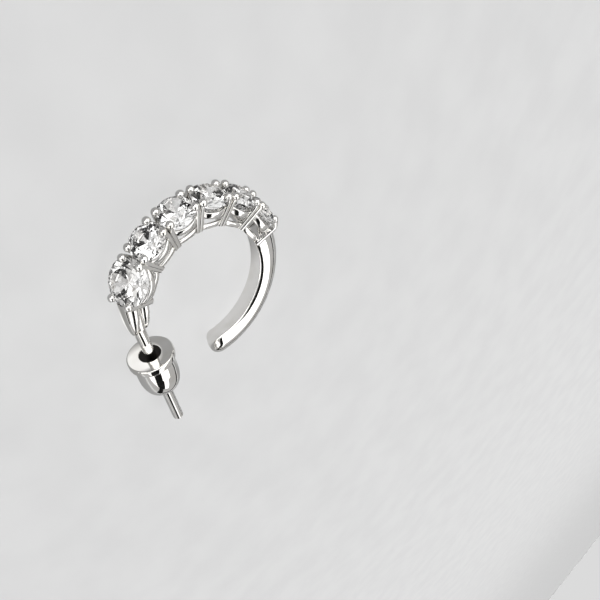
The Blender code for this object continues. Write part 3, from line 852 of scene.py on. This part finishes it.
velvet = black_velvet_card()
for name, *reach in OVERHEAD_CARDS:
    lie, size = over_rig(*reach)
    card(name, flat(*size), lie, velvet)
for name, azimuth, wide, tall in STANDING_CARDS:
    card(name, flat(wide, tall), standing(azimuth, tall), velvet)
low_lie = Matrix.Translation((0.0, 0.0, (LOW_CARD_FROM + LOW_CARD_TO) / 2))
card("low_black_card", low_ring(), low_lie, velvet)

# The shade card.
# A round of card laid on the table under the earring, painted darker toward its middle as painted shade
# under the earring, with paler spots as painted reflections where the ear back's disc and the shank's inner
# face see it. It too only shows in the metal.
# painted shade: the card's middle, darker than the table, stands for the shade under the earring
PAINTED_SHADE_GREY = "#6C6C6C"
PAPER_RADIUS = 60 * MM
PAPER_RIM_SHARE = 0.5  # of the radius, over which it runs into the table's grey
PAPER_LIFT = 0.02 * MM
PAPER_SIDES = 64
# painted reflections: paler spots where the ear back's disc and the shank's inner face see the card
# tone, middle, radius, and how far in from the spot's rim the tone is full, as a share of the radius
PAINTED_REFLECTION_SPOTS = (
    ("#8E8E8E", Vector((3.4, -1.0, 0.0)) * MM, 6.0 * MM, 0.35),
    ("#BABABA", Vector((-6.0, -0.6, 0.0)) * MM, 2.2 * MM, 0.50),
)
SPOT_RIM = 0.05


def soft_spot(tree, place, middle, radius, none_to, full_from):
    """Nil outside a circle on the piece and one toward its middle, with shares of the radius between."""
    about = add_node(
        tree,
        "ShaderNodeMapping",
        inputs={"Scale": [1 / radius] * 3, "Location": -middle / radius},
        links={"Vector": (place, "Object")},
    )
    cone = add_node(
        tree,
        "ShaderNodeTexGradient",
        settings={"gradient_type": "SPHERICAL"},
        links={"Vector": (about, "Vector")},
    )
    inputs = {"From Min": none_to, "From Max": full_from}
    return add_node(tree, "ShaderNodeMapRange", inputs=inputs, links={"Value": (cone, "Fac")})


# Painted shade toward the card's middle and painted reflections in its spots, seen only in the metal.
def painted_shade_card_finish():
    finish, tree = new_finish("card_with_painted_shade_and_reflections")
    place = add_node(tree, "ShaderNodeTexCoord")
    inward = soft_spot(tree, place, Vector((0.0, 0.0, 0.0)), PAPER_RADIUS, 0.0, PAPER_RIM_SHARE)
    grey = add_node(
        tree,
        "ShaderNodeMixRGB",
        inputs={"Color1": linear(TABLE_GREY), "Color2": linear(PAINTED_SHADE_GREY)},
        links={"Fac": (inward, "Result")},
    )
    for tone, middle, radius, full_from in PAINTED_REFLECTION_SPOTS:
        spot = soft_spot(tree, place, middle, radius, SPOT_RIM, full_from)
        grey = add_node(
            tree,
            "ShaderNodeMixRGB",
            inputs={"Color2": linear(tone)},
            links={"Fac": (spot, "Result"), "Color1": (grey, "Color")},
        )
    looks = {"Base Color": (grey, "Color")}
    shader = add_node(tree, "ShaderNodeBsdfPrincipled", inputs={"Roughness": 1.0}, links=looks)
    add_node(tree, "ShaderNodeOutputMaterial", links={"Surface": (shader, "BSDF")})
    return finish


paper = bmesh.new()
bmesh.ops.create_circle(paper, cap_ends=True, segments=PAPER_SIDES, radius=PAPER_RADIUS)
card("painted_shade_card", paper, Matrix.Translation((0.0, 0.0, PAPER_LIFT)), painted_shade_card_finish())

# The room.
# Painted walls, grey on one side and pale on the other, that run down into the table's grey where the two
# meet. They show in the metal and the stones and leave the table to the lights.
WALL_TONES = ((0.0, "#B8B7B6"), (0.5, "#FBFBFA"))  # from the grey side round to the pale one
HORIZON_GREY = "#DBDBDB"  # as the lit table looks, so that the two meet unseen
HORIZON_BLEND = (0.03, 0.10)  # height over distance
PALE_SIDE = radians(105.0)

world = bpy.data.worlds.new("studio")
bpy.context.scene.world = world
world.use_nodes = True
world.cycles_visibility.diffuse = False
room = world.node_tree
room.nodes.clear()
room_place = add_node(room, "ShaderNodeTexCoord")
toward_pale = add_node(
    room,
    "ShaderNodeVectorMath",
    settings={"operation": "DOT_PRODUCT"},
    links={"Vector": (room_place, "Generated")},
)
toward_pale.inputs[1].default_value = (cos(PALE_SIDE), sin(PALE_SIDE), 0.0)
walls = add_node(room, "ShaderNodeValToRGB", links={"Fac": (toward_pale, "Value")})
set_ramp(walls, WALL_TONES)
room_up = add_node(room, "ShaderNodeSeparateXYZ", links={"Vector": (room_place, "Generated")})
above_table = add_node(
    room,
    "ShaderNodeMapRange",
    inputs={"From Min": HORIZON_BLEND[0], "From Max": HORIZON_BLEND[1]},
    links={"Value": (room_up, "Z")},
)
room_tone = add_node(
    room,
    "ShaderNodeMixRGB",
    inputs={"Color1": linear(HORIZON_GREY)},
    links={"Fac": (above_table, "Result"), "Color2": (walls, "Color")},
)
room_light = add_node(room, "ShaderNodeBackground", links={"Color": (room_tone, "Color")})
add_node(room, "ShaderNodeOutputWorld", links={"Surface": (room_light, "Background")})
bpy.context.scene.view_settings.view_transform = "Standard"
